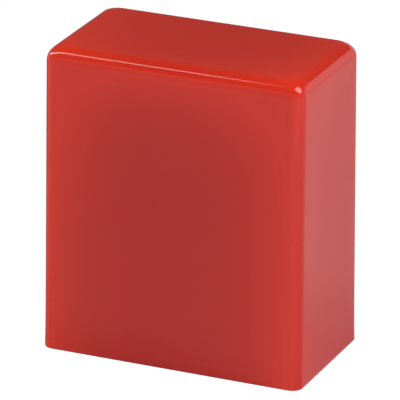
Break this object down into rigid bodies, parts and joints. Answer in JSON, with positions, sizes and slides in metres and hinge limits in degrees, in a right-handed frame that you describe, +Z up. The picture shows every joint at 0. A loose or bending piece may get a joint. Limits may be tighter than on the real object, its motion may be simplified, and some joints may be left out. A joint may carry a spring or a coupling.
{
  "type": "pocket cue chalk",
  "caption": "Slim block of cue chalk on a base plug, under a glossy red pull-off cap with soft top edges; the cap lifts straight up off the chalk.",
  "frame": {"origin": "centre of the footprint, on the table that the cover's rim and the plug stand on", "axes": "+Z up, +X across the broad faces, the broad front face looks along -Y"},
  "size_m": [0.025, 0.014, 0.0285],
  "materials": {
    "cover_red": "gloss",
    "foam": "matte",
    "chalk": "matte",
    "label_paper": "matte",
    "adhesive": "satin",
    "plug_plastic": "satin"
  },
  "bodies": {
    "base": {"base_plug": "plug_plastic", "adhesive_pad": "adhesive", "chalk_block": "chalk", "paper_label": "label_paper"},
    "cover": {"cover": "cover_red", "roof_pad": "foam"}
  },
  "joints": [
    {"name": "cover_lift", "type": "slide", "parent": "base", "child": "cover", "axis": [0, 0, 1], "range_m": [0, 0.03]}
  ]
}
